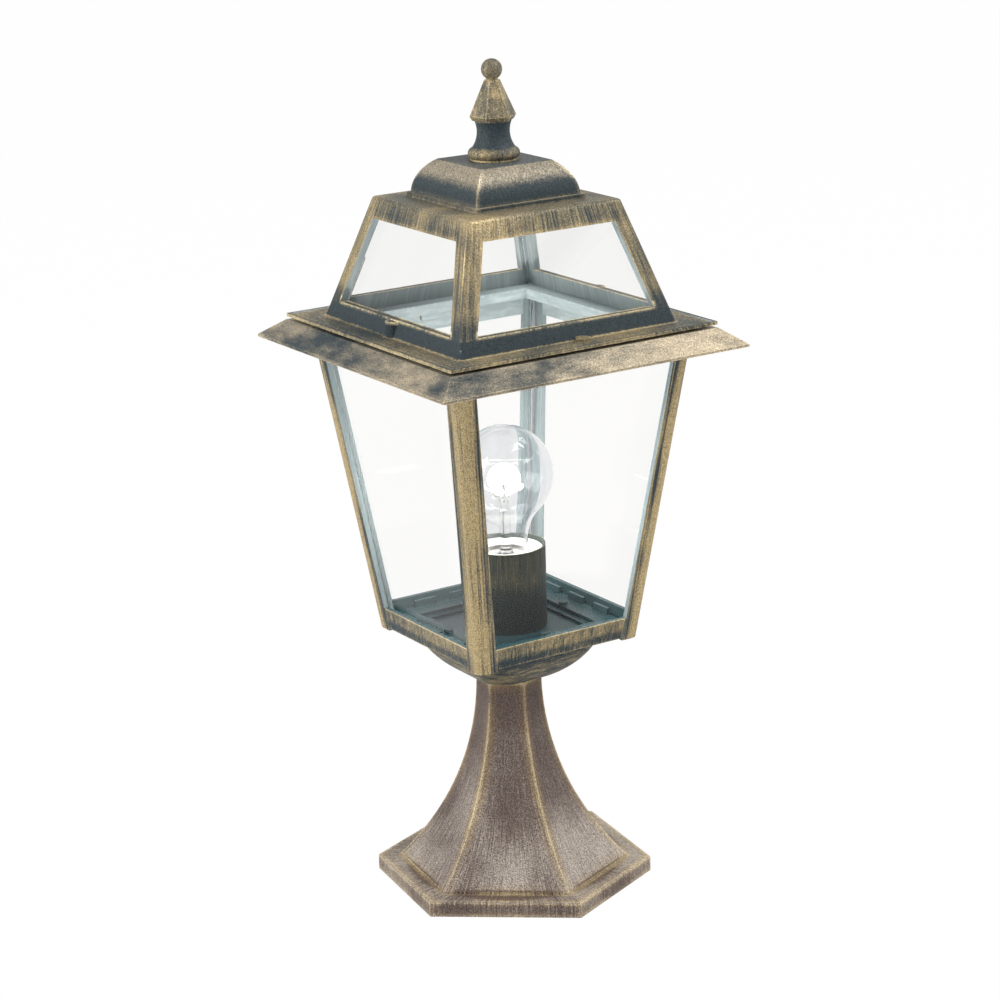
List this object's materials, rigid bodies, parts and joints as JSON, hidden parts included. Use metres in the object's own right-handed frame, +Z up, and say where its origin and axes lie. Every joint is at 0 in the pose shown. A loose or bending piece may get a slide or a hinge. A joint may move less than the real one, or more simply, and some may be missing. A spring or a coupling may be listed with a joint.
{
  "type": "pedestal lantern",
  "caption": "Square glazed patio lantern with a tapered body, hipped glazed roof and finial, on a flared six-sided pedestal, with a screw-in clear lamp.",
  "frame": {"origin": "centre of the pedestal's underside, on the ground", "axes": "+Z up; the lantern's faces look along X and Y; -Y is the face with a roof screw that is seen on the right of the picture"},
  "size_m": [0.21, 0.21, 0.5064],
  "materials": {
    "cast_metal": "painted slate with brushed antique gold",
    "spun_metal": "painted dark green with brushed antique gold",
    "steel": "zinc plated",
    "brass": "plain",
    "clear_glass": "clear",
    "dark_glass": "opaque black",
    "porcelain": "glazed white",
    "block_plastic": "moulded",
    "wire_sleeve": "matt sleeve",
    "lamp_wire": "drawn wire"
  },
  "bodies": {
    "lantern": {"pedestal": "cast_metal", "bowl": "cast_metal", "tray": "cast_metal", "eave": "cast_metal", "roof_frame": "cast_metal", "roof_cap": "cast_metal", "finial": "cast_metal", "post_rear_right": "cast_metal", "post_rear_left": "cast_metal", "post_front_left": "cast_metal", "post_front_right": "cast_metal", "lamp_sleeve": "spun_metal", "mounting_bridge": "steel", "tie_tube": "steel", "tube_nuts": "steel", "tube_washer": "steel", "tie_rods": "steel", "rod_nuts": "steel", "bowl_screws": "steel", "roof_screws": "steel", "finial_stud": "steel", "finial_washer": "steel", "finial_nut": "steel", "pane_clips": "steel", "earth_screw": "brass", "holder_shell": "brass", "holder_contact": "brass", "pane_front": "clear_glass", "pane_right": "clear_glass", "pane_rear": "clear_glass", "pane_left": "clear_glass", "roof_pane_front": "clear_glass", "roof_pane_right": "clear_glass", "roof_pane_rear": "clear_glass", "roof_pane_left": "clear_glass", "lamp_holder": "porcelain", "terminal_block": "block_plastic", "lead_wires": "wire_sleeve"},
    "bulb": {"bulb_glass": "clear_glass", "bulb_cap": "brass", "bulb_insulator": "dark_glass", "bulb_contact": "brass", "bulb_stem": "clear_glass", "bulb_leads": "lamp_wire", "bulb_filament": "lamp_wire"}
  },
  "joints": [
    {"name": "bulb_turn", "type": "hinge", "parent": "lantern", "child": "bulb", "pos_m": [0, 0, 0.2], "axis": [0, 0, 1], "range_deg": [0, 900]}
  ]
}
